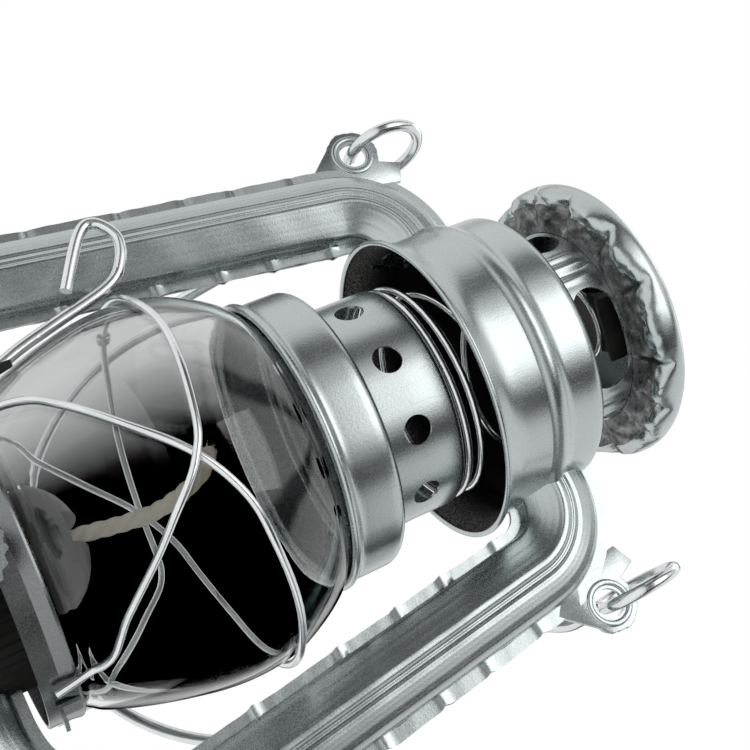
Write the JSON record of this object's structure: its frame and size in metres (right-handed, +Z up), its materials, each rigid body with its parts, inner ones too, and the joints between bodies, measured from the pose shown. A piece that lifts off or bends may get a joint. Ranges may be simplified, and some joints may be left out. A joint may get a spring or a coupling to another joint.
{
  "type": "tubular oil lantern",
  "caption": "Tubular oil lantern with a round tank, two pressed side tubes, slotted hood, lift-up glass globe in crossed guard wires, rope wick and wire bail.",
  "frame": {"origin": "centre of the round foot rim's lower edge, on the lantern's axis", "axes": "Z is up along the axis, X points to the right side tube, and -Y is the side with the lift lever and the wick knob"},
  "size_m": [0.1478, 0.1186, 0.2408],
  "materials": {
    "tin_plate": "bright tin plate with a fine grain",
    "dark_steel": "dull dark steel",
    "wire": "bright drawn wire with light marks",
    "clear_glass": "clear",
    "wick_rope": "twisted undyed cotton rope",
    "gasket": "dull"
  },
  "bodies": {
    "root": {"tank_base": "tin_plate", "tank_shell": "tin_plate", "filler_neck": "tin_plate", "burner_chamber": "dark_steel", "burner_cup": "dark_steel", "wick_tube": "dark_steel", "burner_dome": "dark_steel", "tube_right_front": "tin_plate", "tube_right_rear": "tin_plate", "tube_left_front": "tin_plate", "tube_left_rear": "tin_plate", "drum_shell": "tin_plate", "hood_neck": "tin_plate", "hood_cap": "tin_plate", "spring_strap": "tin_plate", "collar_spring": "wire", "lever_bracket": "dark_steel", "lever_pin": "wire"},
    "carriage": {"globe_plate": "tin_plate", "lift_tab": "tin_plate", "plate_tab": "tin_plate", "guard_wire_right": "wire", "guard_wire_left": "wire", "guard_clip": "wire", "globe": "clear_glass", "globe_band": "tin_plate", "collar_tube": "tin_plate"},
    "lift_lever": {"lift_lever": "wire"},
    "bail": {"bail": "wire"},
    "knob": {"wick_shaft": "wire", "wick_knob": "tin_plate", "wick_wheel": "dark_steel"},
    "wick": {"wick": "wick_rope", "wick_tail": "wick_rope"},
    "gasket": {"cap_gasket": "gasket"},
    "cap": {"filler_cap": "tin_plate"}
  },
  "joints": [
    {"name": "carriage_lift", "type": "slide", "parent": "root", "child": "carriage", "axis": [0, 0, 1], "range_m": [0, 0.0099], "stiffness_N_per_m": 60, "springref_m": -0.02, "deforming": ["collar_spring"]},
    {"name": "lever_turn", "type": "hinge", "parent": "root", "child": "lift_lever", "pos_m": [-0.029, -0.021, 0.0805], "axis": [0, -1, 0], "range_deg": [0, 45]},
    {"name": "bail_swing", "type": "hinge", "parent": "root", "child": "bail", "pos_m": [0, 0.003, 0.21343], "axis": [1, 0, 0], "range_deg": [0, 270]},
    {"name": "knob_turn", "type": "hinge", "parent": "root", "child": "knob", "pos_m": [0.00725, -0.045, 0.076], "axis": [0, -1, 0], "range_deg": [-80, 160]},
    {"name": "wick_slide", "type": "slide", "parent": "root", "child": "wick", "axis": [0, 0, 1], "range_m": [-0.0048, 0.0097]},
    {"name": "cap_rise", "type": "slide", "parent": "root", "child": "gasket", "axis": [0, 0, 1], "range_m": [0, 0.00899]},
    {"name": "cap_turn", "type": "hinge", "parent": "gasket", "child": "cap", "pos_m": [-0.0218, 0.03113, 0.064], "axis": [0, 0, 1], "range_deg": [0, 1080]}
  ],
  "couplings": [
    {"joint": "lever_turn", "follows": "carriage_lift", "rad_per_m": 79},
    {"joint": "knob_turn", "follows": "wick_slide", "rad_per_m": 285.71},
    {"joint": "cap_turn", "follows": "cap_rise", "rad_per_m": 2094.4}
  ]
}
